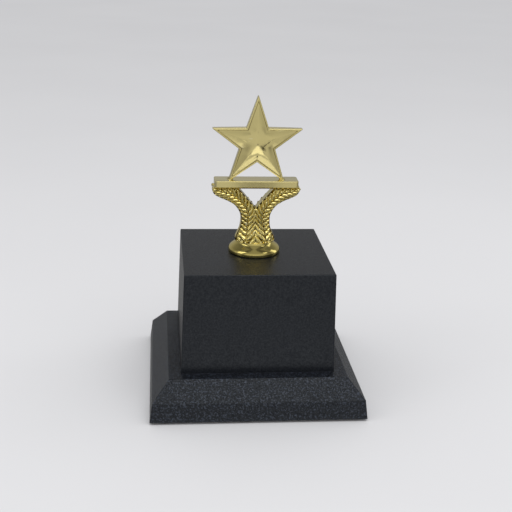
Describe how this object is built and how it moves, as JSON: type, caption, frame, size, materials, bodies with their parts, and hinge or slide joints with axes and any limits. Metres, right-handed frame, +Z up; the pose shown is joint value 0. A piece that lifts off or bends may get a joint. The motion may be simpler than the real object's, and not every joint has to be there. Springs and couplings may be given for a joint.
{
  "type": "star trophy",
  "caption": "Small award: a gold five-pointed star on a laurel stem, bolted to a square black block on a wider bevelled plinth",
  "frame": {"origin": "centre of the felt face that the trophy rests on", "axes": "+Z up through the middle of the figure, -Y towards the viewer of the front of the star, +X to that viewer's right"},
  "size_m": [0.092, 0.092, 0.13],
  "materials": {
    "black_plastic": "black moulded plastic with a fine spark-eroded grain and a satin sheen",
    "gold_metallised": "vacuum-metallised plastic, pale lemon gold, mirror bright",
    "steel": "zinc plated, dull",
    "board": "pressed fibre board, smooth",
    "felt": "pressed felt, matt"
  },
  "bodies": {
    "root": {"felt_pad": "felt", "bottom_board": "board", "plinth_shell": "black_plastic", "block_shell": "black_plastic", "ballast_plate": "steel", "tie_rod": "steel", "rod_nut": "steel", "lock_washer": "steel", "rod_washer": "steel", "figure_nut": "steel", "foot_collar": "gold_metallised", "laurel_front_half": "gold_metallised", "laurel_back_half": "gold_metallised", "platform_bar": "gold_metallised", "star_front_half": "gold_metallised", "star_back_half": "gold_metallised"}
  },
  "joints": []
}
